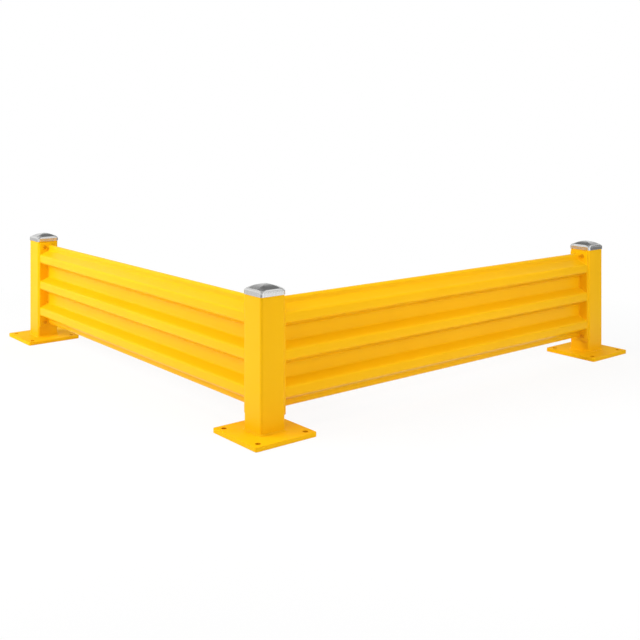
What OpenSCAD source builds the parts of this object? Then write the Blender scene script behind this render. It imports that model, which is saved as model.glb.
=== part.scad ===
// Low corner guard rail: two corrugated rail panels on three square posts, set in an L.
// The origin is on the floor, under the centre of the corner post.
// The left arm runs towards -X and the right arm towards +Y. The ribs face -Y and +X.

/* [Arms] */
// Distance between the corner post and the left post, centre to centre
left_bay = 1828.8; // [600:0.1:3000]
// Distance between the corner post and the right post, centre to centre
right_bay = 1828.8; // [600:0.1:3000]

/* [Posts] */
// Width of the square tube
post_w = 101.6; // [95:0.1:130]
// Wall of the tube
post_wall = 4.8; // [3:0.1:8]
// Outer radius of the tube's corners
post_r = 9.6; // [6:0.1:14]

/* [Base plates] */
// Width of the square base plate
plate_w = 254; // [230:0.5:320]
// Thickness of the base plate
plate_t = 15.9; // [8:0.1:22]
// Radius of the base plate's corners
plate_r = 8; // [1:0.5:14]
// Diameter of the anchor holes
anchor_d = 19; // [12:0.1:24]
// Distance from a plate edge to the centre of its anchor holes
anchor_edge = 28.6; // [20:0.1:36]
// Leg of the fillet weld round the foot of a post
foot_leg = 7; // [4:0.5:12]

/* [Rail panels] */
// Number of ribs in a panel
rib_count = 3; // [2:1:4]
// Height of a rib's flat crown
crown_w = 33; // [24:0.5:50]
// How far the ribs stand out, from the back of the sheet to the crown
rib_depth = 45; // [30:0.5:46]
// How far each sloping flank rises or falls
flank_rise = 21; // [14:0.5:30]
// Height of the flat web between two ribs
web_h = 52; // [36:0.5:80]
// Height of the flat lip above the top rib and below the bottom rib
lip_h = 26; // [22:0.5:40]
// How far the lip's edge is turned back, from the front of the sheet
lip_return = 13; // [11:0.5:16]
// Thickness of the sheet
sheet_t = 3; // [2:0.1:4]
// Radius of the bends, at the middle of the sheet
bend_r = 7.5; // [5:0.5:8]
// Gap between the floor and a panel
rail_gap = 77; // [60:0.5:140]

/* [Rail ends] */
// Width of an end plate
end_w = 89; // [80:0.5:93]
// Thickness of an end plate
end_t = 6.4; // [4:0.1:10]
// How far an end plate stands above and below its panel
end_over = 13; // [6:0.5:18]
// Radius of an end plate's corners
end_r = 9.5; // [3:0.5:14]

/* [Rail bolts] */
// Diameter of the bolts
bolt_d = 9.5; // [8:0.1:14]
// Length of a bolt under its head
bolt_l = 19; // [14:0.5:25]
// Height of a bolt head
head_h = 6.4; // [4:0.1:10]
// How far the flats of a bolt head stand out past the shank
head_over = 2.4; // [1.8:0.1:4]
// Clearance round a bolt in the end plate
hole_clear = 0.8; // [0.3:0.1:1.2]
// Clearance round a bolt in the threaded hole of the post
thread_clear = 0.1; // [0.05:0.05:0.3]
// Clearance between a bolt head and the lip's turned edge
head_clear = 1.2; // [0.5:0.1:3]
// Distance from the end plate's top or bottom edge to a bolt
bolt_edge = 22; // [18:0.1:28]

/* [Caps] */
// Height of the cap's upright rim
rim_h = 23; // [16:0.5:40]
// Rise of the four-sided crown above the rim
cap_rise = 13.5; // [6:0.5:30]
// Wall of the cap
cap_wall = 2.4; // [1.5:0.1:4]
// How far the end of the tube lies below the top of the rim
tube_drop = 9.5; // [5:0.5:16]
// Clearance between the cap and the tube, on each side
cap_clear = 0.3; // [0.1:0.1:1]
// Gap between the top of an end plate and the cap's rim
cap_gap = 5; // [3:0.5:40]

/* [Hidden] */
$fn = 96;
crown_fn = 240;
// How far the top of the crown is cut below the barrels' ridges
crown_flat = 0.2;
bend_steps = 6;
cut = 1;

yellow = [0.98, 0.76, 0.08];
chrome = [0.78, 0.79, 0.80];

// The panel's section
rib_base = crown_w + 2 * flank_rise;
rib_pitch = rib_base + web_h;
rail_h = rib_count * rib_pitch - web_h + 2 * lip_h;
crown_out = rib_depth - sheet_t;
turn_back = lip_return - sheet_t / 2;

// Heights above the floor
rail_top = rail_gap + rail_h;
end_z0 = rail_gap - end_over;
end_z1 = rail_top + end_over;
rim_z0 = end_z1 + cap_gap;
rim_z1 = rim_z0 + rim_h;
post_top = rim_z1 - tube_drop;

// Where an arm's panel lies between its two posts
face = post_w / 2;
rail_start = face + end_t;
left_rail_l = left_bay - 2 * rail_start;
right_rail_l = right_bay - 2 * rail_start;

// Rail bolts
head_af = bolt_d + 2 * head_over;
bolt_y = turn_back + head_clear + head_af / 2;
bolt_z = [end_z0 + bolt_edge, end_z1 - bolt_edge];
bolt_places = [for (y = [-bolt_y, bolt_y]) for (z = bolt_z) [y, z]];

anchor_xy = plate_w / 2 - anchor_edge;

bore_w = post_w - 2 * post_wall;
bore_r = post_r - post_wall;
cap_w = post_w + 2 * (cap_clear + cap_wall);
cap_r = post_r + cap_clear + cap_wall;

corner_at = [0, 0, 0];
left_at = [-left_bay, 0, 0];
right_at = [0, right_bay, 0];

// Direction of the rail as seen from its post
plus_x_angle = 0;
plus_y_angle = 90;
minus_x_angle = 180;
minus_y_angle = 270;

// ---- Outlines ----

// Square with rounded corners, centred
module rounded_square(w, r) {
    square([w - 2 * r, w], center = true);
    square([w, w - 2 * r], center = true);
    for (x = [-1, 1]) for (y = [-1, 1])
        translate([x * (w / 2 - r), y * (w / 2 - r)]) circle(r = r);
}

// Rectangle with rounded corners, centred on X and starting at y = 0
module rounded_strip(w, h, r) {
    translate([-w / 2 + r, 0]) square([w - 2 * r, h]);
    translate([-w / 2, r]) square([w, h - 2 * r]);
    for (x = [-1, 1]) for (y = [r, h - r])
        translate([x * (w / 2 - r), y]) circle(r = r);
}

// ---- The panel's corrugated section, as [y, z] ----

// Corners of the sheet's middle line, from the bottom lip's turned edge to the top lip's
function rib_corners(z) = [
    [0, z],
    [-crown_out, z + flank_rise],
    [-crown_out, z + flank_rise + crown_w],
    [0, z + rib_base]
];
section_corners = concat(
    [[turn_back, sheet_t / 2], [0, sheet_t / 2]],
    [for (i = [0 : rib_count - 1]) each rib_corners(lip_h + i * rib_pitch)],
    [[0, rail_h - sheet_t / 2], [turn_back, rail_h - sheet_t / 2]]
);

function unit(v) = v / norm(v);
function left_of(v) = [-v.y, v.x];
function turned(v, a) = [v.x * cos(a) - v.y * sin(a), v.x * sin(a) + v.y * cos(a)];

// Points of one bend, on the face that lies off to the left of the middle line
function bend(before, p, after, off) =
    let (
        d1 = unit(p - before),
        d2 = unit(after - p),
        a = atan2(cross(d1, d2), d1 * d2),
        n = left_of(d1),
        centre = p - d1 * bend_r * tan(abs(a) / 2) + n * bend_r * sign(a)
    )
    [for (i = [0 : bend_steps]) centre + turned(n, a * i / bend_steps) * (off - bend_r * sign(a))];

// One face of the sheet, from end to end
function sheet_face(c, off) =
    let (last = len(c) - 1)
    concat(
        [c[0] + left_of(unit(c[1] - c[0])) * off],
        [for (i = [1 : last - 1]) each bend(c[i - 1], c[i], c[i + 1], off)],
        [c[last] + left_of(unit(c[last] - c[last - 1])) * off]
    );

function reversed(list) = [for (i = [len(list) - 1 : -1 : 0]) list[i]];

module rail_section() {
    polygon(concat(
        sheet_face(section_corners, sheet_t / 2),
        reversed(sheet_face(section_corners, -sheet_t / 2))
    ));
}

// ---- Pieces, each about its own place ----

// A panel of length l, from x = 0, with its ribs facing -Y
module rail_panel(l) {
    color(yellow) translate([0, 0, rail_gap])
        rotate([90, 0, 90]) linear_extrude(l) rail_section();
}

// Square tube on its base plate, drilled for a rail in each of the given directions
module post(rails) {
    color(yellow) difference() {
        translate([0, 0, plate_t]) linear_extrude(post_top - plate_t) difference() {
            rounded_square(post_w, post_r);
            rounded_square(bore_w, bore_r);
        }
        for (a = rails) rotate([0, 0, a]) for (p = bolt_places)
            translate([face - post_wall - cut, p[0], p[1]])
                rotate([0, 90, 0]) cylinder(d = bolt_d + 2 * thread_clear, h = post_wall + 2 * cut);
    }
}

module base_plate() {
    color(yellow) difference() {
        linear_extrude(plate_t) rounded_square(plate_w, plate_r);
        for (x = [-anchor_xy, anchor_xy]) for (y = [-anchor_xy, anchor_xy])
            translate([x, y, -cut]) cylinder(d = anchor_d, h = plate_t + 2 * cut);
    }
}

// Fillet weld all round the foot of a post
module foot_weld() {
    color(yellow) translate([0, 0, plate_t]) for (a = [0, 90, 180, 270]) rotate([0, 0, a]) {
        translate([face, -face + post_r, 0]) rotate([90, 0, 180])
            linear_extrude(post_w - 2 * post_r) polygon([[0, 0], [-foot_leg, 0], [0, foot_leg]]);
        translate([face - post_r, face - post_r, 0]) rotate_extrude(angle = 90)
            polygon([[post_r, 0], [post_r + foot_leg, 0], [post_r, foot_leg]]);
    }
}

// Fits over the top of a post and rests on the end of the tube
module cap() {
    color(chrome) difference() {
        union() {
            translate([0, 0, rim_z0]) linear_extrude(rim_h) rounded_square(cap_w, cap_r);
            translate([0, 0, rim_z1]) crown(cap_w, cap_rise, cap_r);
        }
        translate([0, 0, rim_z0 - cut]) linear_extrude(post_top - rim_z0 + cut)
            rounded_square(post_w + 2 * cap_clear, post_r + cap_clear);
        translate([0, 0, post_top - cut]) linear_extrude(tube_drop - cap_wall + cut)
            rounded_square(bore_w, bore_r);
        translate([0, 0, rim_z1 - cap_wall]) crown(bore_w, cap_rise, bore_r);
    }
}

// Domed crown on a rounded square, from z = 0: two crossing barrels meet along the diagonals,
// under a small flat at the very top
module crown(w, rise, r) {
    barrel_top = rise + crown_flat;
    barrel_r = (w * w / 4 + barrel_top * barrel_top) / (2 * barrel_top);
    intersection() {
        linear_extrude(rise) rounded_square(w, r);
        translate([-w / 2 - cut, 0, barrel_top - barrel_r])
            rotate([0, 90, 0]) cylinder(r = barrel_r, h = w + 2 * cut, $fn = crown_fn);
        translate([0, w / 2 + cut, barrel_top - barrel_r])
            rotate([90, 0, 0]) cylinder(r = barrel_r, h = w + 2 * cut, $fn = crown_fn);
    }
}

// ---- What joins a rail to a post, drawn with the post at the origin and the rail towards +X ----

module end_plate() {
    color(yellow) difference() {
        translate([face, 0, end_z0]) rotate([90, 0, 90])
            linear_extrude(end_t) rounded_strip(end_w, end_z1 - end_z0, end_r);
        for (p = bolt_places) translate([face - cut, p[0], p[1]])
            rotate([0, 90, 0]) cylinder(d = bolt_d + 2 * hole_clear, h = end_t + 2 * cut);
    }
}

// Hexagon bolt k of the four in an end plate, with its head on the rail's side
module rail_bolt(k) {
    color(yellow) translate([rail_start, bolt_places[k - 1][0], bolt_places[k - 1][1]]) {
        rotate([0, 90, 0]) cylinder(d = head_af / cos(30), h = head_h, $fn = 6);
        translate([-bolt_l, 0, 0]) rotate([0, 90, 0]) cylinder(d = bolt_d, h = bolt_l);
    }
}

// ---- Places of the four rail ends ----

module left_outer() translate(left_at) rotate([0, 0, plus_x_angle]) children();
module left_inner() translate(corner_at) rotate([0, 0, minus_x_angle]) children();
module right_inner() translate(corner_at) rotate([0, 0, plus_y_angle]) children();
module right_outer() translate(right_at) rotate([0, 0, minus_y_angle]) children();

// ---- Sub-parts ----

module corner_post() translate(corner_at) post([minus_x_angle, plus_y_angle]);
module left_post() translate(left_at) post([plus_x_angle]);
module right_post() translate(right_at) post([minus_y_angle]);

module corner_base_plate() translate(corner_at) base_plate();
module left_base_plate() translate(left_at) base_plate();
module right_base_plate() translate(right_at) base_plate();

module corner_foot_weld() translate(corner_at) foot_weld();
module left_foot_weld() translate(left_at) foot_weld();
module right_foot_weld() translate(right_at) foot_weld();

module corner_cap() translate(corner_at) cap();
module left_cap() translate(left_at) cap();
module right_cap() translate(right_at) cap();

module left_rail_panel() translate([-left_bay + rail_start, 0, 0]) rail_panel(left_rail_l);
module right_rail_panel() rotate([0, 0, 90]) translate([rail_start, 0, 0]) rail_panel(right_rail_l);

corner_post();
left_post();
right_post();
corner_base_plate();
left_base_plate();
right_base_plate();
corner_foot_weld();
left_foot_weld();
right_foot_weld();
corner_cap();
left_cap();
right_cap();
left_rail_panel();
right_rail_panel();
left_outer() end_plate();  // left_outer_end_plate
left_inner() end_plate();  // left_inner_end_plate
right_inner() end_plate();  // right_inner_end_plate
right_outer() end_plate();  // right_outer_end_plate
left_outer() rail_bolt(1);  // left_outer_bolt_1
left_outer() rail_bolt(2);  // left_outer_bolt_2
left_outer() rail_bolt(3);  // left_outer_bolt_3
left_outer() rail_bolt(4);  // left_outer_bolt_4
left_inner() rail_bolt(1);  // left_inner_bolt_1
left_inner() rail_bolt(2);  // left_inner_bolt_2
left_inner() rail_bolt(3);  // left_inner_bolt_3
left_inner() rail_bolt(4);  // left_inner_bolt_4
right_inner() rail_bolt(1);  // right_inner_bolt_1
right_inner() rail_bolt(2);  // right_inner_bolt_2
right_inner() rail_bolt(3);  // right_inner_bolt_3
right_inner() rail_bolt(4);  // right_inner_bolt_4
right_outer() rail_bolt(1);  // right_outer_bolt_1
right_outer() rail_bolt(2);  // right_outer_bolt_2
right_outer() rail_bolt(3);  // right_outer_bolt_3
right_outer() rail_bolt(4);  // right_outer_bolt_4
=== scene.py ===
import math

import bmesh
import bpy
from mathutils import Matrix, Vector


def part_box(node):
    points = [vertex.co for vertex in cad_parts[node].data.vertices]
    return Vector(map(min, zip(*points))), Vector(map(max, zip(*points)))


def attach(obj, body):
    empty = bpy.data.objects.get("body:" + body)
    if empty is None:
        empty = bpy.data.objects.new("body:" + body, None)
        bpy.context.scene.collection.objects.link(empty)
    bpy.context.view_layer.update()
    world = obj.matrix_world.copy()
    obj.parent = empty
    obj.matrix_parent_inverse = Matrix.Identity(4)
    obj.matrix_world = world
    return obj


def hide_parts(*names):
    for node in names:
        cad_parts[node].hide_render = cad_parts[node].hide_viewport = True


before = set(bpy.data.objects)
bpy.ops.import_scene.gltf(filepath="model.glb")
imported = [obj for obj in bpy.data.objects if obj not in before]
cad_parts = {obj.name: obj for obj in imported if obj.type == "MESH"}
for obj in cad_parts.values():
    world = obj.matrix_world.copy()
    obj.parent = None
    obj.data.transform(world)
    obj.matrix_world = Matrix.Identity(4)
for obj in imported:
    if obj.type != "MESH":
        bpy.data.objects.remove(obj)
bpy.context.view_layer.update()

# Low corner guard rail: the finishes and the fine shapes that go on its solids.
# All sizes are in metres, in the part's own frame: the origin is on the floor under the corner post,
# the left arm runs towards -X with its ribs facing -Y, the right arm towards +Y with its ribs facing +X.

MM = 0.001

# ---- Sizes that the boxes of the solids don't give ----

TUBE_WALL = 4.8 * MM
TUBE_R = 9.6 * MM
PLATE_R = 8 * MM
ANCHOR_D = 19 * MM
ANCHOR_EDGE = 28.6 * MM
FOOT_LEG = 7 * MM

RIB_COUNT = 3
CROWN_W = 33 * MM
FLANK_RISE = 21 * MM
WEB_H = 52 * MM
LIP_H = 26 * MM
SHEET_T = 3 * MM
BEND_R = 10 * MM
CROWN_OUT = 42 * MM
TURN_BACK = 11.5 * MM

END_PLATE_R = 9.5 * MM
BOLT_D = 9.5 * MM
BOLT_L = 19 * MM
HEAD_AF = 14.3 * MM
HEAD_H = 6.4 * MM

CAP_WALL = 2.4 * MM
CAP_CLEAR = 0.3 * MM

# ---- Sizes of the fine shapes, with angles in degrees ----

ARC_STEPS = 10
PLATE_ARC_STEPS = 6
HOLE_STEPS = 48
PLATE_EDGE = 1.2 * MM
END_PLATE_EDGE = 1.0 * MM
PLATE_EDGE_STEPS = 3
SHEET_EDGE = 0.5 * MM
SHEET_EDGE_STEPS = 2
BEND_STEPS = 8
# An edge that turns by more than this is a cut one, and is softened
CUT_TURN = 60
# An edge that turns by more than this stays sharp where the faces beside it are smooth
SHARP_TURN = 35
CAP_SHARP_TURN = 50
BOLT_SHARP_TURN = 25
WELD_SHARP_TURN = 60

SHOULDER_R = 11 * MM
SHOULDER_CORNER_R = 24 * MM
SHOULDER_STEPS = 10
SHOULDER_LEAN = 25  # where the crown meets the shoulder
CROWN_LEAN = 5  # beside the top
CROWN_RINGS = 16
CREASE_R = 1.2 * MM
RIM_EDGE = 0.8 * MM
RIM_STEPS = 3

WASHER_FACE = 0.6 * MM
HEAD_FACE_R = 0.475 * HEAD_AF
HEAD_CHAMFER = 30
HEX_SIDE_STEPS = 8
BOLT_TURN = 30  # about its axis, give or take the sway
BOLT_SWAY = 5

RIPPLE_STEPS = 5
RIPPLE_LEAN = 0.6  # below 1 a ripple's hump lies nearer to its start
BEAD_FLATNESS = 0.6  # 0 gives a round face and 1 a straight one
BEAD_SUNK = 0.06  # into both sides, for a leg of 1
BEAD_BODY = 0.84  # between the ripples, for a leg of 1
BEAD_LEAST = 0.6 * MM
BEAD_ARC_STEPS = 6
DRIFT_SCALE = 90.0  # of a bead's slow unevenness
FOOT_RIPPLE = 3.2 * MM
END_WELD_LEG = 3.6 * MM
END_RIPPLE = 2.4 * MM
# Meshes that a tree makes have their coinciding points merged within these distances
SEAM_GAP = 0.02 * MM
POINT_GAP = 0.005 * MM

POSTS = ("corner", "left", "right")
# Each rail end: the post that carries it, and the direction of the rail from there
RAIL_ENDS = {
    "left_outer": ("left", (1, 0, 0)),
    "left_inner": ("corner", (-1, 0, 0)),
    "right_inner": ("corner", (0, 1, 0)),
    "right_outer": ("right", (0, -1, 0)),
}
BOLT_NUMBERS = (1, 2, 3, 4)
# Each panel is drawn in this direction, which puts its ribs on the outside of the corner
ARM_ALONG = {"left": (-1, 0, 0), "right": (0, -1, 0)}


# ---- Short calls for node trees ----

def add(tree, kind, wires=None, **settings):
    """A new node with its settings, and its inputs wired to sockets or set to values."""
    node = tree.nodes.new(kind)
    for key, value in settings.items():
        setattr(node, key, value)
    for key, value in (wires or {}).items():
        if isinstance(value, bpy.types.NodeSocket):
            tree.links.new(value, node.inputs[key])
        else:
            node.inputs[key].default_value = value
    return node


def made(tree, kind, wires=None, **settings):
    """The first output of a new node."""
    return add(tree, kind, wires, **settings).outputs[0]


def calc(tree, operation, *values, clamp=False):
    """The result of a Math node."""
    return made(tree, "ShaderNodeMath", dict(enumerate(values)), operation=operation, use_clamp=clamp)


def noise(tree, **wires):
    """The level of a Noise Texture whose inputs are given by name."""
    return add(tree, "ShaderNodeTexNoise", wires).outputs["Fac"]


def ramped(tree, value, low, high, at_low=0.0, at_high=1.0):
    """A value that goes from one level to another between two limits, and stays level past them."""
    return add(tree, "ShaderNodeMapRange",
               {"Value": value, "From Min": low, "From Max": high,
                "To Min": at_low, "To Max": at_high}).outputs["Result"]


def blended(tree, share, first, second):
    """A colour between two others. Each of them is a socket or a plain colour."""
    return add(tree, "ShaderNodeMix", {0: share, 6: first, 7: second}, data_type="RGBA").outputs[2]


def new_tree(name, kind, inputs, outputs):
    """A node group with named sockets: (name, type) or (name, type, default)."""
    tree = bpy.data.node_groups.new(name, kind)
    for label, socket, *default in inputs:
        item = tree.interface.new_socket(label, in_out="INPUT", socket_type="NodeSocket" + socket)
        if default:
            item.default_value = default[0]
    for label, socket in outputs:
        tree.interface.new_socket(label, in_out="OUTPUT", socket_type="NodeSocket" + socket)
    return tree, tree.nodes.new("NodeGroupInput").outputs, tree.nodes.new("NodeGroupOutput").inputs


# ---- Shared effects of the finishes ----

# A coat's slow unevenness: its scale beside that of the dimples, the levels of noise between which it
# grows, and how far it shifts the roughness
FLOW_SCALE = 0.085
FLOW_SPAN = (0.3, 0.7)
GLOSS_SHIFT = (-0.035, 0.045)
DIMPLE_HEIGHT = 0.5
# Clouds and specks of a deeper tone, which come in between two levels of noise or distances
CLOUD_SCALE = 5.5
CLOUD_SPAN = (0.35, 0.72)
SPECK_SCALE = 260.0
SPECK_SPAN = (0.05, 0.16)
SPECK_DEPTH = 0.55
LINE_SPAN = (0.35, 0.65)


def orange_peel_group():
    """The fine dimpled skin of a baked powder coat, and its slower unevenness."""
    tree, given, out = new_tree(
        "orange_peel", "ShaderNodeTree",
        [("Vector", "Vector"), ("Dimple Scale", "Float", 420.0), ("Flow", "Float", 0.5)],
        [("Height", "Float"), ("Gloss Shift", "Float")])
    dimples = noise(tree, Vector=given["Vector"], Scale=given["Dimple Scale"], Detail=1.5, Roughness=0.45)
    slow_scale = calc(tree, "MULTIPLY", given["Dimple Scale"], FLOW_SCALE)
    flow = noise(tree, Vector=given["Vector"], Scale=slow_scale, Detail=2.0)
    slow = calc(tree, "MULTIPLY", flow, given["Flow"])
    tree.links.new(calc(tree, "MULTIPLY_ADD", dimples, DIMPLE_HEIGHT, slow), out["Height"])
    tree.links.new(ramped(tree, flow, *FLOW_SPAN, *GLOSS_SHIFT), out["Gloss Shift"])
    return tree


def coat_tone_group():
    """Slight changes of tone where a coat is thicker or thinner, with faint specks."""
    tree, given, out = new_tree(
        "coat_tone", "ShaderNodeTree",
        [("Vector", "Vector"), ("Color", "Color"), ("Deep Color", "Color"), ("Amount", "Float", 0.5)],
        [("Color", "Color")])
    clouds = noise(tree, Vector=given["Vector"], Scale=CLOUD_SCALE, Detail=5.0, Roughness=0.55)
    specks = add(tree, "ShaderNodeTexVoronoi",
                 {"Vector": given["Vector"], "Scale": SPECK_SCALE}, feature="F1").outputs["Distance"]
    cloud = ramped(tree, clouds, *CLOUD_SPAN)
    speck = ramped(tree, specks, *SPECK_SPAN, SPECK_DEPTH, 0.0)
    share = calc(tree, "MULTIPLY", calc(tree, "MAXIMUM", cloud, speck), given["Amount"], clamp=True)
    tree.links.new(blended(tree, share, given["Color"], given["Deep Color"]), out["Color"])
    return tree


def fine_lines_group():
    """Hair-fine polishing or handling lines that run along one direction."""
    tree, given, out = new_tree(
        "fine_lines", "ShaderNodeTree",
        [("Vector", "Vector"), ("Stretch", "Vector", (1.0, 1.0, 1.0)), ("Scale", "Float", 300.0)],
        [("Line", "Float")])
    drawn = made(tree, "ShaderNodeVectorMath",
                 {0: given["Vector"], 1: given["Stretch"]}, operation="MULTIPLY")
    line = noise(tree, Vector=drawn, Scale=given["Scale"], Detail=3.0, Roughness=0.6)
    tree.links.new(ramped(tree, line, *LINE_SPAN), out["Line"])
    return tree


def place(tree, group, wires):
    """The outputs of a shared effect, placed in a material with its own values."""
    return add(tree, "ShaderNodeGroup", wires, node_tree=group).outputs


def new_material(name, **settings):
    """A material with a Principled shader whose plain values are set on its own sockets."""
    material = bpy.data.materials.new(name)
    material.use_nodes = True
    tree = material.node_tree
    shader = tree.nodes["Principled BSDF"]
    for key, value in settings.items():
        shader.inputs[key.replace("_", " ")].default_value = value
    spot = tree.nodes.new("ShaderNodeTexCoord").outputs["Object"]
    return material, tree, shader, spot


def bump_into(tree, shader, height, strength, distance):
    """Roughens the shader's surface by a height."""
    bump = add(tree, "ShaderNodeBump", {"Height": height, "Strength": strength, "Distance": distance})
    tree.links.new(bump.outputs["Normal"], shader.inputs["Normal"])


# ---- Finishes ----

COAT_YELLOW = (0.905, 0.488, 0.004, 1.0)
COAT_DEEP = (0.880, 0.448, 0.003, 1.0)
WELD_YELLOW = (0.890, 0.463, 0.004, 1.0)
# The bolt heads' yellow, darkened to stand as painted shade for the nook round them
BOLT_SHADED_YELLOW = (0.570, 0.220, 0.002, 1.0)
# Painted shade: the brown of the anchor holes' walls, where little light reaches
HOLE_SHADE_BROWN = (0.700, 0.290, 0.003, 1.0)
COAT_GLOSS = 0.15
COAT_IOR = 1.5
SHEEN_TINT = (1.0, 0.85, 0.4, 1.0)
PEEL_STRENGTH = 0.35
# What is added to the roughness where a coat is walked on
WORN_DULLNESS = 0.3

# The caps' metal beside and on its polishing lines, and how strong those lines and its wavy skin are
METAL_PALE = (0.78, 0.78, 0.77, 1.0)
METAL_DULL = (0.72, 0.72, 0.71, 1.0)
CAP_ROUGHNESS = 0.21
LINE_DULLNESS = 0.04
LINE_HEIGHT = 0.012
LINE_STRETCH = (1.0, 1.0, 0.12)
LINE_SCALE = 380.0
WAVE_SCALE = 30.0
WAVE_STRENGTH = 0.06
WAVE_DEPTH = 0.6 * MM


def point_value(tree, name):
    """What an attribute of the mesh says at a spot, and 0 where the mesh has none of that name."""
    return add(tree, "ShaderNodeAttribute", attribute_name=name).outputs["Fac"]


def coated_finish(name, effects, color, mottle, roughness, dimple_scale, dimple_depth):
    """Powder coat: dimpled, a little glossy, with a slightly uneven tone."""
    material, tree, shader, spot = new_material(
        name, Metallic=0.0, IOR=COAT_IOR, Specular_IOR_Level=COAT_GLOSS, Specular_Tint=SHEEN_TINT)
    tone = place(tree, effects["coat_tone"],
                 {"Vector": spot, "Color": color, "Deep Color": COAT_DEEP, "Amount": mottle})
    # Painted shade: the walls of the anchor holes are blended to a brown
    shaded = blended(tree, point_value(tree, "bore"), tone["Color"], HOLE_SHADE_BROWN)
    tree.links.new(shaded, shader.inputs["Base Color"])
    peel = place(tree, effects["orange_peel"], {"Vector": spot, "Dimple Scale": dimple_scale})
    fresh = calc(tree, "ADD", peel["Gloss Shift"], roughness)
    dull = calc(tree, "MULTIPLY_ADD", point_value(tree, "worn"), WORN_DULLNESS, fresh)
    tree.links.new(dull, shader.inputs["Roughness"])
    bump_into(tree, shader, peel["Height"], PEEL_STRENGTH, dimple_depth)
    return material


def powder_coat_finish(effects):
    """The coat of the posts, the plates and the panels."""
    return coated_finish("yellow_powder_coat", effects, COAT_YELLOW,
                         mottle=0.45, roughness=0.34, dimple_scale=430.0, dimple_depth=0.25 * MM)


def painted_weld_finish(effects):
    """The same coat over the rippled welds."""
    return coated_finish("painted_weld", effects, WELD_YELLOW,
                         mottle=0.6, roughness=0.38, dimple_scale=700.0, dimple_depth=0.25 * MM)


def painted_bolt_finish(effects):
    """The bolt heads' yellow paint, darkened as a painted shade of the nook they sit in."""
    return coated_finish("painted_bolt", effects, BOLT_SHADED_YELLOW,
                         mottle=0.4, roughness=0.42, dimple_scale=900.0, dimple_depth=0.15 * MM)


def bright_cap_finish(effects):
    """Bright polished metal with faint polishing lines and a slightly wavy skin."""
    material, tree, shader, spot = new_material("bright_cap", Metallic=1.0)
    line = place(tree, effects["fine_lines"],
                 {"Vector": spot, "Stretch": LINE_STRETCH, "Scale": LINE_SCALE})["Line"]
    tree.links.new(blended(tree, line, METAL_PALE, METAL_DULL), shader.inputs["Base Color"])
    roughness = calc(tree, "MULTIPLY_ADD", line, LINE_DULLNESS, CAP_ROUGHNESS)
    tree.links.new(roughness, shader.inputs["Roughness"])
    wave = noise(tree, Vector=spot, Scale=WAVE_SCALE, Detail=1.0)
    height = calc(tree, "MULTIPLY_ADD", line, LINE_HEIGHT, wave)
    bump_into(tree, shader, height, WAVE_STRENGTH, WAVE_DEPTH)
    return material


def make_finishes():
    """All finishes by the name of their slot."""
    effects = {"orange_peel": orange_peel_group(), "coat_tone": coat_tone_group(),
               "fine_lines": fine_lines_group()}
    return {
        "yellow_powder_coat": powder_coat_finish(effects),
        "painted_weld": painted_weld_finish(effects),
        "painted_bolt": painted_bolt_finish(effects),
        "bright_cap": bright_cap_finish(effects),
    }


# ---- Meshes ----

def rounded_outline(half_x, half_y, r, steps=ARC_STEPS):
    """Points of a rectangle with rounded corners, anticlockwise."""
    points = []
    for quarter, (sx, sy) in enumerate([(1, 1), (-1, 1), (-1, -1), (1, -1)]):
        for i in range(steps + 1):
            a = math.radians(90 * (quarter + i / steps))
            points.append((sx * (half_x - r) + r * math.cos(a), sy * (half_y - r) + r * math.sin(a)))
    return points


def loft(bm, rings, join_ends=False):
    """Skins a list of rings of vertices, and closes the last ring onto the first if asked."""
    following = rings[1:] + rings[:1] if join_ends else rings[1:]
    for low, high in zip(rings, following):
        for i in range(len(low)):
            k = (i + 1) % len(low)
            bm.faces.new((low[i], low[k], high[k], high[i]))


def around(at, outline):
    """An outline moved so that its middle lies over a place."""
    return [(x + at.x, y + at.y) for x, y in outline]


def ring(bm, outline, z):
    """An outline's points as vertices at one height."""
    return [bm.verts.new((x, y, z)) for x, y in outline]


def new_object(name, data):
    """An object of this name and data, put into the scene."""
    thing = bpy.data.objects.new(name, data)
    bpy.context.collection.objects.link(thing)
    return thing


def object_from(bm, name):
    """An object whose mesh is a finished bmesh."""
    mesh = bpy.data.meshes.new(name)
    bm.to_mesh(mesh)
    bm.free()
    return new_object(name, mesh)


def piece_from(bm, name, sharp_turn=SHARP_TURN):
    """A piece from a finished bmesh: outward normals, smooth faces, and sharp edges kept sharp."""
    bmesh.ops.recalc_face_normals(bm, faces=bm.faces)
    return smooth_piece(object_from(bm, name), sharp_turn)


def smooth_piece(piece, sharp_turn=SHARP_TURN, weighted=True):
    """Smooth faces between the sharp edges. With weighted on, broad flat faces keep an even shade."""
    piece.data.polygons.foreach_set("use_smooth", [True] * len(piece.data.polygons))
    piece.data.set_sharp_from_angle(angle=math.radians(sharp_turn))
    if weighted:
        modifier = piece.modifiers.new("flat_faces", "WEIGHTED_NORMAL")
        modifier.keep_sharp = True
        modifier.weight = 100
        settle(piece)
    return piece


def shape_of(piece):
    """The plain mesh that an object's modifiers give."""
    graph = bpy.context.evaluated_depsgraph_get()
    return bpy.data.meshes.new_from_object(
        piece.evaluated_get(graph), preserve_all_data_layers=True, depsgraph=graph)


def settle(piece):
    """Turns what the modifiers give into the piece's own plain mesh."""
    mesh = shape_of(piece)
    piece.modifiers.clear()
    old = piece.data
    piece.data = mesh
    bpy.data.meshes.remove(old)
    mesh.name = piece.name


def grown_by_nodes(name, tree, values, base=None):
    """The plain mesh that a Geometry Nodes tree gives, as a new object."""
    holder = new_object(name + "_holder", base or bpy.data.meshes.new(name + "_base"))
    modifier = holder.modifiers.new("shape", "NODES")
    modifier.node_group = tree
    for item in tree.interface.items_tree:
        if item.in_out == "INPUT" and item.name in values:
            modifier[item.identifier] = values[item.name]
    mesh = shape_of(holder)
    mesh.name = name
    bpy.data.objects.remove(holder)
    return new_object(name, mesh)


def move(piece, matrix):
    """Puts the piece's place into its mesh."""
    piece.data.transform(matrix)
    piece.data.update()
    return piece


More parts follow.
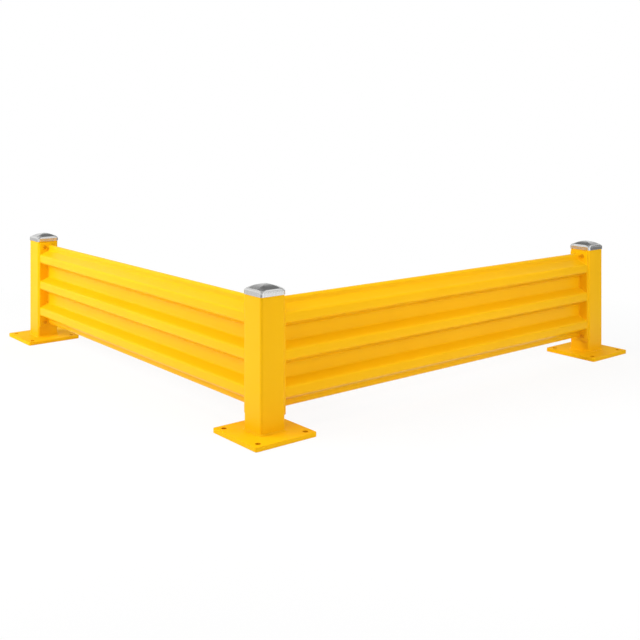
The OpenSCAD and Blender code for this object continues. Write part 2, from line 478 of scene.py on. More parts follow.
def dress(piece, finishes, slot, *nodes):
    """Gives a piece the finish of its slot, lets it ride, and hides the solids that it stands for."""
    piece.data.materials.clear()
    piece.data.materials.append(finishes[slot])
    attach(piece, "root")
    if nodes:
        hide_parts(*nodes)
    return piece


def centre_of(low, high):
    """The middle of a box."""
    return (low + high) / 2


# ---- Posts, plates and caps ----

def make_post(name):
    """Square tube with its rounded corners."""
    low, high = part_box(f"{name}_post")
    at = centre_of(low, high)
    half = (high.x - low.x) / 2
    inner_half = half - TUBE_WALL
    outer = around(at, rounded_outline(half, half, TUBE_R))
    inner = around(at, rounded_outline(inner_half, inner_half, TUBE_R - TUBE_WALL))
    bm = bmesh.new()
    rings = [ring(bm, outline, z)
             for outline, z in ((outer, low.z), (outer, high.z), (inner, high.z), (inner, low.z))]
    loft(bm, rings, join_ends=True)
    return piece_from(bm, f"{name}_post_tube")


def flat_plate(name, outline, holes, thickness, edge):
    """A plate lying on z = 0, with holes, whose edges are all softened."""
    bm = bmesh.new()
    for points in [outline] + holes:
        verts = ring(bm, points, 0.0)
        for i, vert in enumerate(verts):
            bm.edges.new((vert, verts[(i + 1) % len(verts)]))
    bmesh.ops.triangle_fill(bm, use_beauty=True, edges=bm.edges[:])
    grown = bmesh.ops.extrude_face_region(bm, geom=bm.faces[:])
    top_verts = [g for g in grown["geom"] if isinstance(g, bmesh.types.BMVert)]
    bmesh.ops.translate(bm, verts=top_verts, vec=(0, 0, thickness))
    bmesh.ops.recalc_face_normals(bm, faces=bm.faces)
    rims = [e for e in bm.edges
            if len(e.link_faces) == 2 and e.calc_face_angle() > math.radians(CUT_TURN)]
    bmesh.ops.bevel(bm, geom=rims, offset=edge, segments=PLATE_EDGE_STEPS, profile=0.5, affect="EDGES")
    return piece_from(bm, name)


def circle_points(x, y, r, steps):
    """Points of a circle, anticlockwise."""
    angles = [math.tau * i / steps for i in range(steps)]
    return [(x + r * math.cos(a), y + r * math.sin(a)) for a in angles]


def mark(piece, name, values):
    """A point attribute that the coat reads."""
    piece.data.attributes.new(name, "FLOAT", "POINT").data.foreach_set("value", values)


def hole_shade_shares(piece, centres, r):
    """1 on the walls of the holes, which a painted shade darkens to brown, and 0 elsewhere."""
    return [float(any(math.hypot(vert.co.x - x, vert.co.y - y) < r for x, y in centres))
            for vert in piece.data.vertices]


def make_base_plate(name):
    """Square steel plate with four anchor holes."""
    low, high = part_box(f"{name}_base_plate")
    at = centre_of(low, high)
    half = (high.x - low.x) / 2
    reach = half - ANCHOR_EDGE
    centres = [(sx * reach, sy * reach) for sx in (-1, 1) for sy in (-1, 1)]
    holes = [circle_points(x, y, ANCHOR_D / 2, HOLE_STEPS) for x, y in centres]
    plate = flat_plate(f"{name}_foot_plate", rounded_outline(half, half, PLATE_R, PLATE_ARC_STEPS),
                       holes, high.z - low.z, PLATE_EDGE)
    # Marks the anchor holes' walls for their painted shade
    mark(plate, "bore", hole_shade_shares(plate, centres, ANCHOR_D / 2 + PLATE_EDGE / 2))
    mark(plate, "worn", [1.0] * len(plate.data.vertices))
    return move(plate, Matrix.Translation((at.x, at.y, low.z)))


def make_cap(name):
    """Cap pressed over the tube: an upright rim, a broad rolled shoulder and a low four-sided crown."""
    low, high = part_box(f"{name}_cap")
    tube_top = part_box(f"{name}_post")[1].z
    at = centre_of(low, high)
    half = (high.x - low.x) / 2
    r = TUBE_R + CAP_CLEAR + CAP_WALL
    steep = math.radians(SHOULDER_LEAN)
    gentle = math.radians(CROWN_LEAN)
    crown_half = half - SHOULDER_R * (1 - math.sin(steep))
    # The crown's slope grows evenly from the gentle one at the top to the steep one at its edge
    bow = (math.tan(steep) - math.tan(gentle)) / (2 * crown_half)

    def outline(inset, corner_r):
        return around(at, rounded_outline(half - inset, half - inset, corner_r))

    def crown_z(reach):
        return high.z - reach * (math.tan(gentle) + bow * reach)

    bm = bmesh.new()
    hollow = outline(CAP_WALL, r - CAP_WALL)
    rings = [ring(bm, hollow, tube_top), ring(bm, hollow, low.z)]
    for i in range(RIM_STEPS + 1):
        a = math.radians(90 * i / RIM_STEPS)
        inset = RIM_EDGE * (1 - math.sin(a))
        rings.append(ring(bm, outline(inset, r - inset), low.z + RIM_EDGE * (1 - math.cos(a))))
    rim_top = crown_z(crown_half) - SHOULDER_R * math.cos(steep)
    for i in range(SHOULDER_STEPS + 1):
        a = (math.pi / 2 - steep) * i / SHOULDER_STEPS
        inset = SHOULDER_R * (1 - math.cos(a))
        corner_r = r + (SHOULDER_CORNER_R - r) * i / SHOULDER_STEPS
        rings.append(ring(bm, outline(inset, corner_r), rim_top + SHOULDER_R * math.sin(a)))
    for i in range(1, CROWN_RINGS + 1):
        reach = crown_half + (2 * CREASE_R - crown_half) * i / CROWN_RINGS
        corner_r = CREASE_R + (SHOULDER_CORNER_R - CREASE_R) * (1 - i / CROWN_RINGS) ** 2
        rings.append(ring(bm, outline(half - reach, corner_r), crown_z(reach)))
    loft(bm, rings)
    bm.faces.new(rings[0])
    tip = bm.verts.new((at.x, at.y, high.z))
    last = rings[-1]
    for i, vert in enumerate(last):
        bm.faces.new((vert, last[(i + 1) % len(last)], tip))
    return piece_from(bm, f"{name}_domed_cap", CAP_SHARP_TURN)


# ---- Geometry Nodes: welds, panels and bolts ----

def bead_group():
    """A rippled fillet weld along a flat path, which is its corner. It lies to the right of the path."""
    tree, given, out = new_tree(
        "rippled_bead", "GeometryNodeTree",
        [("Path", "Geometry"), ("Leg", "Float", 0.006), ("Ripple Pitch", "Float", 0.003),
         ("Ripple Height", "Float", 0.16), ("Unevenness", "Float", 0.12), ("Edge", "Float", 1.0)],
        [("Mesh", "Geometry")])
    length = add(tree, "GeometryNodeSplineLength").outputs["Length"]
    ripples = calc(tree, "ROUND", calc(tree, "DIVIDE", length, given["Ripple Pitch"]))
    count = calc(tree, "MULTIPLY", ripples, RIPPLE_STEPS)
    points = made(tree, "GeometryNodeResampleCurve",
                  {"Curve": given["Path"], "Count": count}, mode="COUNT")
    path = made(tree, "GeometryNodeSetCurveNormal", {"Curve": points}, mode="Z_UP")
    along = add(tree, "GeometryNodeSplineParameter").outputs["Factor"]
    phase = calc(tree, "FRACT", calc(tree, "MULTIPLY", along, ripples))
    hump = calc(tree, "SINE", calc(tree, "MULTIPLY", calc(tree, "POWER", phase, RIPPLE_LEAN), math.pi))
    ripple = calc(tree, "MULTIPLY", hump, given["Ripple Height"])
    uneven = calc(tree, "SUBTRACT", noise(tree, Scale=DRIFT_SCALE, Detail=1.0), 0.5)
    drift = calc(tree, "MULTIPLY", uneven, given["Unevenness"])
    size = calc(tree, "ADD", calc(tree, "ADD", ripple, drift), BEAD_BODY)
    spot = made(tree, "GeometryNodeInputPosition")
    across = add(tree, "ShaderNodeSeparateXYZ", {0: spot}).outputs["X"]
    room = calc(tree, "MAXIMUM", calc(tree, "SUBTRACT", given["Edge"], across), BEAD_LEAST)
    leg = calc(tree, "MULTIPLY", size, calc(tree, "MINIMUM", given["Leg"], room))
    swept = made(tree, "GeometryNodeCurveToMesh",
                 {"Curve": path, "Profile Curve": fillet_section(tree), "Scale": leg, "Fill Caps": True})
    tree.links.new(swept, out["Mesh"])
    return tree


def fillet_section(tree):
    """The bead's section, for a leg of 1: a quarter disc that is flattened towards a straight face."""
    arc = made(tree, "GeometryNodeCurveArc",
               {"Resolution": BEAD_ARC_STEPS, "Radius": 1.0, "Start Angle": math.radians(-90),
                "Sweep Angle": math.radians(90), "Connect Center": True}, mode="RADIUS")
    spot = made(tree, "GeometryNodeInputPosition")
    reach = made(tree, "ShaderNodeVectorMath", {0: spot}, operation="ABSOLUTE")
    size = add(tree, "ShaderNodeSeparateXYZ", {0: reach}).outputs
    chord = calc(tree, "MAXIMUM", calc(tree, "ADD", size["X"], size["Y"]), 1.0)
    shrink = calc(tree, "POWER", chord, -BEAD_FLATNESS)
    flat = made(tree, "ShaderNodeVectorMath", {0: spot, "Scale": shrink}, operation="SCALE")
    sunk = made(tree, "ShaderNodeVectorMath", {0: flat, 1: (-BEAD_SUNK, BEAD_SUNK, 0)}, operation="ADD")
    return made(tree, "GeometryNodeSetPosition", {"Geometry": arc, "Position": sunk})


# The section's corners: two at each lip, and four at each rib
LIP_CORNERS = 2
RIB_CORNERS = 4
SECTION_SIZES = [
    ("Ribs", "Int", RIB_COUNT), ("Crown", "Float", CROWN_W), ("Flank Rise", "Float", FLANK_RISE),
    ("Web", "Float", WEB_H), ("Lip", "Float", LIP_H), ("Crown Out", "Float", CROWN_OUT),
    ("Turn Back", "Float", TURN_BACK), ("Sheet", "Float", SHEET_T), ("Bend Radius", "Float", BEND_R),
]


def section_group():
    """The panel's section from bottom lip to top lip as a flat curve, off the sheet's middle by Side."""
    tree, given, out = new_tree(
        "corrugated_section", "GeometryNodeTree",
        SECTION_SIZES + [("Side", "Float", 0.0)], [("Curve", "Geometry")])
    flanks = calc(tree, "MULTIPLY", given["Flank Rise"], 2)
    base = calc(tree, "ADD", given["Crown"], flanks)
    pitch = calc(tree, "ADD", base, given["Web"])
    ribs_high = calc(tree, "SUBTRACT", calc(tree, "MULTIPLY", pitch, given["Ribs"]), given["Web"])
    height = calc(tree, "MULTIPLY_ADD", given["Lip"], 2, ribs_high)
    corners = calc(tree, "MULTIPLY_ADD", given["Ribs"], RIB_CORNERS, 2 * LIP_CORNERS)
    line = made(tree, "GeometryNodeMeshLine", {"Count": corners, "Offset": (0, MM, 0)}, mode="OFFSET")
    index = made(tree, "GeometryNodeInputIndex")

    # The ribs' corners: a foot, two crown corners and the other foot
    shifted = calc(tree, "SUBTRACT", index, LIP_CORNERS)
    rib = calc(tree, "FLOOR", calc(tree, "DIVIDE", shifted, RIB_CORNERS))
    corner = calc(tree, "SUBTRACT", shifted, calc(tree, "MULTIPLY", rib, RIB_CORNERS))
    past = [calc(tree, "GREATER_THAN", corner, k + 0.5) for k in range(RIB_CORNERS - 1)]
    first = calc(tree, "MULTIPLY", past[0], given["Flank Rise"])
    second = calc(tree, "MULTIPLY_ADD", past[1], given["Crown"], first)
    third = calc(tree, "MULTIPLY_ADD", past[2], given["Flank Rise"], second)
    foot = calc(tree, "MULTIPLY_ADD", rib, pitch, given["Lip"])
    rib_y = calc(tree, "ADD", foot, third)
    on_crown = calc(tree, "SUBTRACT", past[0], past[2])
    rib_x = calc(tree, "MULTIPLY", on_crown, given["Crown Out"])

    # The lips: their bend and their turned edge, below the first rib and above the last one
    half_sheet = calc(tree, "DIVIDE", given["Sheet"], 2)
    below = calc(tree, "LESS_THAN", index, LIP_CORNERS - 0.5)
    above = calc(tree, "GREATER_THAN", index, calc(tree, "SUBTRACT", corners, LIP_CORNERS + 0.5))
    turned = calc(tree, "MAXIMUM", calc(tree, "LESS_THAN", index, 0.5),
                  calc(tree, "GREATER_THAN", index, calc(tree, "SUBTRACT", corners, 1.5)))
    on_rib = calc(tree, "SUBTRACT", 1, calc(tree, "ADD", below, above))
    back = calc(tree, "MULTIPLY", turned, given["Turn Back"])
    x = calc(tree, "SUBTRACT", calc(tree, "MULTIPLY", rib_x, on_rib), back)
    top = calc(tree, "SUBTRACT", height, half_sheet)
    lip_y = calc(tree, "MULTIPLY_ADD", below, half_sheet, calc(tree, "MULTIPLY", above, top))
    y = calc(tree, "MULTIPLY_ADD", rib_y, on_rib, lip_y)
    spot = made(tree, "ShaderNodeCombineXYZ", {"X": x, "Y": y})
    placed = made(tree, "GeometryNodeSetPosition", {"Geometry": line, "Position": spot})
    curve = made(tree, "GeometryNodeMeshToCurve", {"Mesh": placed})
    bent = made(tree, "GeometryNodeFilletCurve",
                {"Curve": curve, "Count": BEND_STEPS, "Radius": given["Bend Radius"]}, mode="POLY")
    flat = made(tree, "GeometryNodeSetCurveNormal", {"Curve": bent}, mode="Z_UP")
    normal = made(tree, "GeometryNodeInputNormal")
    off = made(tree, "ShaderNodeVectorMath", {0: normal, "Scale": given["Side"]}, operation="SCALE")
    moved = made(tree, "GeometryNodeSetPosition", {"Geometry": flat, "Offset": off})
    tree.links.new(moved, out["Curve"])
    return tree


def nested(tree, group, wires):
    """The first output of a node group used inside another."""
    return add(tree, "GeometryNodeGroup", wires, node_tree=group).outputs[0]


def section_wires(given):
    """A tree's own sizes of the section, to be handed on to the section's group."""
    return {label: given[label] for label, _, _ in SECTION_SIZES}


def finished(tree, geometry, given, out):
    """Every tree ends the same way: instances made real, and the finish set."""
    real = made(tree, "GeometryNodeRealizeInstances", {0: geometry})
    coated = made(tree, "GeometryNodeSetMaterial", {"Geometry": real, "Material": given["Finish"]})
    tree.links.new(coated, out["Mesh"])
    return tree


def panel_tree(section):
    """A corrugated panel: its section drawn out along Z and given the sheet's thickness."""
    tree, given, out = new_tree(
        "rail_panel", "GeometryNodeTree",
        SECTION_SIZES + [("Length", "Float", 1.0), ("Finish", "Material")], [("Mesh", "Geometry")])
    sizes = section_wires(given)
    back = calc(tree, "MULTIPLY", given["Sheet"], -0.5)
    line = nested(tree, section, {**sizes, "Side": back})
    edges = made(tree, "GeometryNodeCurveToMesh", {"Curve": line})
    reach = made(tree, "ShaderNodeCombineXYZ", {"Z": given["Length"]})
    skin = made(tree, "GeometryNodeExtrudeMesh",
                {"Mesh": edges, "Offset": reach, "Offset Scale": 1.0}, mode="EDGES")
    turned = made(tree, "GeometryNodeFlipFaces", {"Mesh": skin})
    thick = made(tree, "GeometryNodeExtrudeMesh",
                 {"Mesh": turned, "Offset Scale": given["Sheet"], "Individual": False}, mode="FACES")
    both = add(tree, "GeometryNodeJoinGeometry")
    tree.links.new(thick, both.inputs[0])
    tree.links.new(skin, both.inputs[0])
    closed = made(tree, "GeometryNodeMergeByDistance",
                  {"Geometry": both.outputs[0], "Distance": SEAM_GAP})
    return finished(tree, closed, given, out)


def end_weld_tree(section, bead):
    """The welds that join a panel's end to its end plate, one along each face of the sheet."""
    tree, given, out = new_tree(
        "end_weld", "GeometryNodeTree",
        SECTION_SIZES + [("Leg", "Float", END_WELD_LEG), ("Ripple Pitch", "Float", END_RIPPLE),
                         ("Plate Edge", "Float", 0.04), ("Finish", "Material")], [("Mesh", "Geometry")])
    sizes = section_wires(given)
    both = add(tree, "GeometryNodeJoinGeometry")
    for side in (0.5, -0.5):
        off = calc(tree, "MULTIPLY", given["Sheet"], side)
        line = nested(tree, section, {**sizes, "Side": off})
        if side < 0:
            line = made(tree, "GeometryNodeReverseCurve", {"Curve": line})
        weld = nested(tree, bead, {"Path": line, "Leg": given["Leg"],
                                   "Ripple Pitch": given["Ripple Pitch"], "Edge": given["Plate Edge"]})
        tree.links.new(weld, both.inputs[0])
    return finished(tree, both.outputs[0], given, out)


def foot_weld_tree(bead):
    """The weld all round the foot of a square tube."""
    tree, given, out = new_tree(
        "foot_weld", "GeometryNodeTree",
        [("Tube Width", "Float", 0.1), ("Corner Radius", "Float", TUBE_R), ("Leg", "Float", FOOT_LEG),
         ("Ripple Pitch", "Float", FOOT_RIPPLE), ("Finish", "Material")], [("Mesh", "Geometry")])
    square = made(tree, "GeometryNodeCurvePrimitiveQuadrilateral",
                  {"Width": given["Tube Width"], "Height": given["Tube Width"]})
    foot = made(tree, "GeometryNodeFilletCurve",
                {"Curve": square, "Count": ARC_STEPS, "Radius": given["Corner Radius"]}, mode="POLY")
    weld = nested(tree, bead, {"Path": foot, "Leg": given["Leg"], "Ripple Pitch": given["Ripple Pitch"]})
    return finished(tree, weld, given, out)


def bolt_tree():
    """One bolt on each given point, each turned by its own amount."""
    tree, given, out = new_tree(
        "bolt_set", "GeometryNodeTree",
        [("Points", "Geometry"), ("Bolt", "Object"), ("Seed", "Int", 0), ("Finish", "Material")],
        [("Mesh", "Geometry")])
    bolt = add(tree, "GeometryNodeObjectInfo", {"Object": given["Bolt"]}).outputs["Geometry"]
    turn = add(tree, "FunctionNodeRandomValue",
               {2: math.radians(BOLT_TURN - BOLT_SWAY), 3: math.radians(BOLT_TURN + BOLT_SWAY),
                "Seed": given["Seed"]}, data_type="FLOAT")
    angles = made(tree, "ShaderNodeCombineXYZ", {"Z": turn.outputs[1]})
    rotation = made(tree, "FunctionNodeEulerToRotation", {0: angles})
    bolts = made(tree, "GeometryNodeInstanceOnPoints",
                 {"Points": given["Points"], "Instance": bolt, "Rotation": rotation})
    return finished(tree, bolts, given, out)


def hex_bolt():
    """A hexagon bolt along Z: a chamfered head on a thin washer face, and its shank below z = 0."""
    count = 6 * HEX_SIDE_STEPS
    slope = math.tan(math.radians(HEAD_CHAMFER))

    def hex_r(i):
        a = math.radians(60 * ((i % HEX_SIDE_STEPS) / HEX_SIDE_STEPS - 0.5))
        return HEAD_AF / 2 / math.cos(a)

    def hexagon(z_of):
        turns = [(hex_r(i), math.tau * i / count) for i in range(count)]
        return [bm.verts.new((r * math.cos(a), r * math.sin(a), z_of(r))) for r, a in turns]

    bm = bmesh.new()
    shank = circle_points(0, 0, BOLT_D / 2, count)
    face = circle_points(0, 0, HEAD_FACE_R, count)
    rings = [
        ring(bm, shank, -BOLT_L),
        ring(bm, shank, 0),
        ring(bm, face, 0),
        ring(bm, face, WASHER_FACE),
        hexagon(lambda r: WASHER_FACE),
        hexagon(lambda r: HEAD_H - (r - HEAD_FACE_R) * slope),
        ring(bm, face, HEAD_H),
    ]
    loft(bm, rings)
    bm.faces.new(rings[0])
    bm.faces.new(rings[-1])
    return piece_from(bm, "hex_bolt", BOLT_SHARP_TURN)


# ---- Rails, end plates, welds and bolts ----

def facing(along, at):
    """Turns a shape drawn on the XY plane so that Y points up and Z points along the given direction."""
    along = Vector(along)
    across = Vector((0, 0, 1)).cross(along)
    turn = Matrix((across, (0, 0, 1), along)).transposed().to_4x4()
    return Matrix.Translation(at) @ turn


def clean(piece, sharp_turn=SHARP_TURN, weighted=True):
    """Merges what coincides, points the faces outwards and smooths a mesh that a tree has made."""
    bm = bmesh.new()
    bm.from_mesh(piece.data)
    bmesh.ops.remove_doubles(bm, verts=bm.verts, dist=POINT_GAP)
    bmesh.ops.recalc_face_normals(bm, faces=bm.faces)
    bm.to_mesh(piece.data)
    bm.free()
    return smooth_piece(piece, sharp_turn, weighted)


def make_foot_weld(name, tree, finishes):
    """The weld round a post's foot, on its base plate."""
    low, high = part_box(f"{name}_post")
    at = centre_of(low, high)
    weld = grown_by_nodes(f"{name}_foot_bead", tree,
                          {"Tube Width": high.x - low.x, "Finish": finishes["painted_weld"]})
    move(weld, Matrix.Translation((at.x, at.y, low.z)))
    return clean(weld, WELD_SHARP_TURN, weighted=False)


def panel_run(arm):
    """Where a panel starts, at the foot of its webs' middle plane, and how long and how high it is."""
    low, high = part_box(f"{arm}_rail_panel")
    along = Vector(ARM_ALONG[arm])
    start = Vector((high.x if along.x else 0, high.y if along.y else 0, low.z))
    return start, abs((high - low).dot(along)), high.z - low.z


def make_panel(arm, tree, finishes):
    """A corrugated panel whose cut edges are softened."""
    start, length, _ = panel_run(arm)
    panel = grown_by_nodes(f"{arm}_corrugated_rail", tree,
                           {"Length": length, "Finish": finishes["yellow_powder_coat"]})
    move(panel, facing(ARM_ALONG[arm], start))
    clean(panel, weighted=False)
    edge = panel.modifiers.new("cut_edges", "BEVEL")
    edge.width = SHEET_EDGE
    edge.segments = SHEET_EDGE_STEPS
    edge.limit_method = "ANGLE"
    edge.angle_limit = math.radians(CUT_TURN)
    settle(panel)
    return smooth_piece(panel)


def make_end_welds(arm, tree, finishes):
    """The welds at both ends of a panel."""
    start, length, height = panel_run(arm)
    along = Vector(ARM_ALONG[arm])
    plate_low, plate_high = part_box(f"{arm}_inner_end_plate")
    plate = plate_high - plate_low
    plate_w = plate.x + plate.y - abs(plate.dot(along))
    # The far end's weld is turned over, so it starts at the panel's top
    far = start + along * length + Vector((0, 0, height))
    places = {
        "near": facing(along, start),
        "far": facing(along, far) @ Matrix.Rotation(math.pi, 4, "X"),
    }
    welds = []
    for label, where in places.items():
        weld = grown_by_nodes(f"{arm}_{label}_seam", tree,
                              {"Plate Edge": plate_w / 2, "Finish": finishes["painted_weld"]})
        welds.append(clean(move(weld, where), WELD_SHARP_TURN, weighted=False))
    return welds


def post_side(end):
    """The middle of the post's face that carries a rail end, on the floor, and the rail's direction."""
    post, along = RAIL_ENDS[end]
    low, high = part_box(f"{post}_post")
    at = centre_of(low, high)
    along = Vector(along)
    return Vector((at.x, at.y, 0)) + along * (high.x - low.x) / 2, along


def make_end_plate(end):
    """The plate between a post and its rail, with rounded corners."""
    at, along = post_side(end)
    low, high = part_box(f"{end}_end_plate")
    size = high - low
    thickness = abs(size.dot(along))
    width = size.x + size.y - thickness
    plate = flat_plate(f"{end}_bolted_plate", rounded_outline(width / 2, size.z / 2, END_PLATE_R),
                       [], thickness, END_PLATE_EDGE)
    return move(plate, facing(along, at + Vector((0, 0, centre_of(low, high).z))))


def make_bolts(end, tree, bolt, seed, finishes):
    """The four bolts of a rail end."""
    at, along = post_side(end)
    stand = facing(along, at)
    back = stand.inverted()
    seats = bpy.data.meshes.new(f"{end}_seats")
    points = []
    for k in BOLT_NUMBERS:
        low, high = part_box(f"{end}_bolt_{k}")
        spot = back @ centre_of(low, high)
        seat = max((back @ low).z, (back @ high).z) - HEAD_H
        points.append((spot.x, spot.y, seat))
    seats.from_pydata(points, [], [])
    bolts = grown_by_nodes(f"{end}_bolts", tree,
                           {"Bolt": bolt, "Seed": seed, "Finish": finishes["painted_bolt"]}, seats)
    return clean(move(bolts, stand), BOLT_SHARP_TURN)


# ---- Stage, lights and camera ----

CAMERA_AT = (2.586, -1.896, 1.066)
CAMERA_YAW = 0.9016
SENSOR_W = 36
LENS = 53.2
SHIFT = (0.0327, -0.3127)
FAR_CLIP = 200

# The level that the studio gives to dull surfaces
AMBIENT = 0.33
# How pale the studio looks in reflections, by the height of the direction: in front of and behind
# the corner there is a dim ceiling over a white surround, and to both sides a pale ceiling
DIM_CEILING = [(0.25, 1.0), (0.36, 0.82), (0.45, 0.60), (0.51, 0.42),
               (0.56, 0.20), (0.61, 0.155), (0.85, 0.18)]
PALE_CEILING = [(0.30, 1.0), (0.55, 0.75), (0.70, 1.0), (0.85, 1.0), (0.95, 0.5)]
# The dim ceiling turns into the pale one between these products of a direction's X and Y
CEILING_TURN = (-0.13, -0.04)
# Towards this side the studio is dark, within a cone whose edge lies between these two cosines
DARK_SIDE = (0.47, 0.82, 0.32)
DARK_CONE = (0.945, 0.975)
DARK_LEVEL = 0.2

FLOOR_HALF = 60.0
FLOOR_GREY = (0.86, 0.86, 0.86, 1)
# Near the rail plain white has this share of the floor, and a real surface that takes the shadow has
# the rest. Between these distances from the corner the white takes all of it
NEAR_WHITE = 0.88
OPEN_FLOOR = (2.2, 3.2)
# How bright the floor looks in reflections along X, along Y and away from the middle of a dark patch,
# each as two places and the levels there
FLOOR_ALONG_X = (-2.5, 2.0, 0.68, 1.1)
FLOOR_ALONG_Y = (2.3, 3.2, 1.0, 0.2)
DARK_PATCH = (1.7, -2.3, 0.0)
PATCH_REACH = (1.5, 1.8, 0.03, 1.0)

# Each softbox: its place, the spot that it faces, its width and height, and its power in watts
SOFTBOXES = {
    "left_softbox": ((-1.75, -2.45, 2.22), (-1.2, 0.0, 0.25), (2.4, 1.8), 94),
    "low_softbox": ((-2.1, -2.4, 0.6), (-1.5, 0.0, 0.25), (2.2, 0.8), 12),
    "right_softbox": ((1.85, 1.10, 1.35), (0.0, 0.95, 0.25), (1.6, 1.2), 24),
    "top_softbox": ((0.3, -0.1, 2.6), (0.1, 0.0, 0.0), (1.8, 1.8), 27),
    "back_softbox": ((-2.9, 2.9, 1.9), (-0.9, 0.9, 0.25), (2.2, 1.5), 45),
}


def make_camera():
    """A level camera whose shift frames the rail."""
    camera = new_object("camera", bpy.data.cameras.new("camera"))
    camera.location = CAMERA_AT
    camera.rotation_euler = (math.pi / 2, 0, CAMERA_YAW)
    camera.data.sensor_width = SENSOR_W
    camera.data.lens = LENS
    camera.data.shift_x, camera.data.shift_y = SHIFT
    camera.data.clip_end = FAR_CLIP
    bpy.context.scene.camera = camera


def seen_directly(tree):
    """1 for camera, glossy and transmission rays, and 0 for the rest."""
    path = tree.nodes.new("ShaderNodeLightPath").outputs
    direct = calc(tree, "ADD", path["Is Camera Ray"], path["Is Glossy Ray"])
    return calc(tree, "ADD", direct, path["Is Transmission Ray"], clamp=True)


def ceiling_level(tree, height, levels):
    """The level that a list of (height, level) gives at a height of direction."""
    ramp = add(tree, "ShaderNodeValToRGB", {0: height})
    bands = ramp.color_ramp.elements
    bands.remove(bands[1])
    for i, (height_at, level) in enumerate(levels):
        band = bands[0] if i == 0 else bands.new(height_at)
        band.position = height_at
        band.color = (level, level, level, 1)
    return ramp.outputs[0]


def make_world():
    """A pale studio all round: white to the camera, and with its own levels in reflections."""
    world = bpy.data.worlds.new("studio")
    bpy.context.scene.world = world
    world.use_nodes = True
    tree = world.node_tree
    tree.nodes.clear()
    direction = tree.nodes.new("ShaderNodeTexCoord").outputs["Generated"]
    parts = add(tree, "ShaderNodeSeparateXYZ", {0: direction}).outputs
    dim = ceiling_level(tree, parts["Z"], DIM_CEILING)
    pale = ceiling_level(tree, parts["Z"], PALE_CEILING)
    product = calc(tree, "MULTIPLY", parts["X"], parts["Y"])
    dimness = ramped(tree, product, *CEILING_TURN, 1.0, 0.0)
    ceiling = calc(tree, "MULTIPLY_ADD", dimness, calc(tree, "SUBTRACT", dim, pale), pale)
    towards = add(tree, "ShaderNodeVectorMath",
                  {0: direction, 1: DARK_SIDE}, operation="DOT_PRODUCT").outputs["Value"]
    mirrored = calc(tree, "MULTIPLY", ceiling, ramped(tree, towards, *DARK_CONE, 1.0, DARK_LEVEL))
    camera_ray = tree.nodes.new("ShaderNodeLightPath").outputs["Is Camera Ray"]
    seen = calc(tree, "MAXIMUM", camera_ray, mirrored)
    share = seen_directly(tree)
    level = calc(tree, "MULTIPLY_ADD", share, calc(tree, "SUBTRACT", seen, AMBIENT), AMBIENT)
    background = add(tree, "ShaderNodeBackground", {"Color": (1, 1, 1, 1), "Strength": level})
    output = tree.nodes.new("ShaderNodeOutputWorld")
    tree.links.new(background.outputs[0], output.inputs["Surface"])


def mirrored_level(tree, spot):
    """How bright the floor looks in reflections: dimmer on the left, past the right post, in a patch."""
    parts = add(tree, "ShaderNodeSeparateXYZ", {0: spot}).outputs
    along_x = ramped(tree, parts["X"], *FLOOR_ALONG_X)
    along_y = ramped(tree, parts["Y"], *FLOOR_ALONG_Y)
    away = add(tree, "ShaderNodeVectorMath",
               {0: spot, 1: DARK_PATCH}, operation="DISTANCE").outputs["Value"]
    patch = ramped(tree, away, *PATCH_REACH)
    return calc(tree, "MULTIPLY", calc(tree, "MULTIPLY", along_x, along_y), patch)


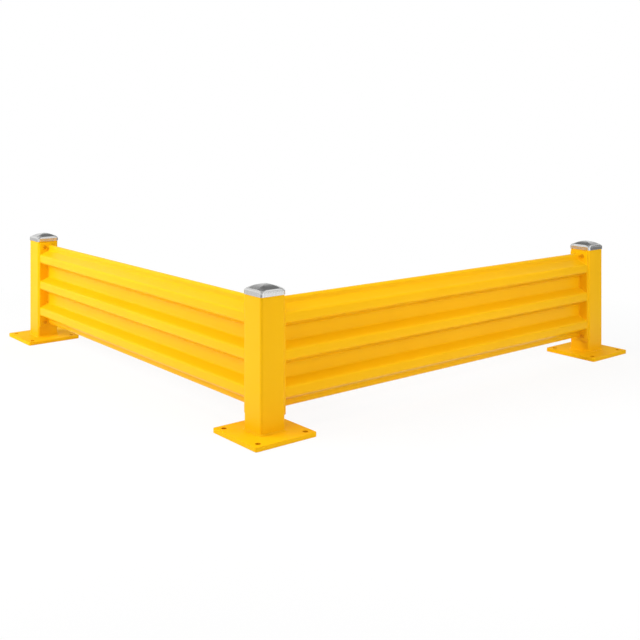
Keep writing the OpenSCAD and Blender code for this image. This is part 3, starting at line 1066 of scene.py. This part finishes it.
def make_floor():
    """A broad pale floor that is white to the camera and still takes the rail's shadow."""
    bm = bmesh.new()
    bmesh.ops.create_grid(bm, x_segments=1, y_segments=1, size=FLOOR_HALF)
    floor = object_from(bm, "floor")
    material = bpy.data.materials.new("pale_floor")
    material.use_nodes = True
    tree = material.node_tree
    tree.nodes.clear()
    diffuse = add(tree, "ShaderNodeBsdfDiffuse", {"Color": FLOOR_GREY})
    spot = tree.nodes.new("ShaderNodeTexCoord").outputs["Object"]
    camera_ray = tree.nodes.new("ShaderNodeLightPath").outputs["Is Camera Ray"]
    level = ramped(tree, camera_ray, 0.0, 1.0, mirrored_level(tree, spot), 1.0)
    glow = add(tree, "ShaderNodeEmission", {"Color": (1, 1, 1, 1), "Strength": level})
    reach = add(tree, "ShaderNodeVectorMath", {0: spot}, operation="LENGTH").outputs["Value"]
    white = ramped(tree, reach, *OPEN_FLOOR, NEAR_WHITE, 1.0)
    share = calc(tree, "MULTIPLY", seen_directly(tree), white)
    mix = add(tree, "ShaderNodeMixShader", {0: share, 1: diffuse.outputs[0], 2: glow.outputs[0]})
    output = tree.nodes.new("ShaderNodeOutputMaterial")
    tree.links.new(mix.outputs[0], output.inputs["Surface"])
    floor.data.materials.append(material)


def make_softbox(name, at, aim, size, power):
    """A broad lamp that lights the rail but isn't seen in its reflections."""
    light = bpy.data.lights.new(name, "AREA")
    light.shape = "RECTANGLE"
    light.size, light.size_y = size
    light.energy = power
    lamp = new_object(name, light)
    lamp.location = at
    lamp.visible_glossy = False
    lamp.rotation_euler = (Vector(aim) - Vector(at)).to_track_quat("-Z", "Y").to_euler()


def make_studio():
    """The camera, the world, the floor and the lamps."""
    bpy.context.scene.view_settings.view_transform = "Standard"
    make_camera()
    make_world()
    make_floor()
    for name, values in SOFTBOXES.items():
        make_softbox(name, *values)


# ---- The guard rail ----

def build():
    """Every piece of the guard rail, in its finish and in place of its solids."""
    finishes = make_finishes()
    for name in POSTS:
        dress(make_post(name), finishes, "yellow_powder_coat", f"{name}_post")
        dress(make_base_plate(name), finishes, "yellow_powder_coat", f"{name}_base_plate")
        dress(make_cap(name), finishes, "bright_cap", f"{name}_cap")

    bead = bead_group()
    section = section_group()
    foot_weld = foot_weld_tree(bead)
    panel = panel_tree(section)
    end_weld = end_weld_tree(section, bead)
    bolt_set = bolt_tree()
    for name in POSTS:
        dress(make_foot_weld(name, foot_weld, finishes), finishes, "painted_weld", f"{name}_foot_weld")
    for arm in ARM_ALONG:
        dress(make_panel(arm, panel, finishes), finishes, "yellow_powder_coat", f"{arm}_rail_panel")
        for weld in make_end_welds(arm, end_weld, finishes):
            dress(weld, finishes, "painted_weld")

    bolt = hex_bolt()
    for seed, end in enumerate(RAIL_ENDS):
        dress(make_end_plate(end), finishes, "yellow_powder_coat", f"{end}_end_plate")
        bolts = [f"{end}_bolt_{k}" for k in BOLT_NUMBERS]
        dress(make_bolts(end, bolt_set, bolt, seed, finishes), finishes, "painted_bolt", *bolts)
    bpy.data.objects.remove(bolt)


make_studio()
build()
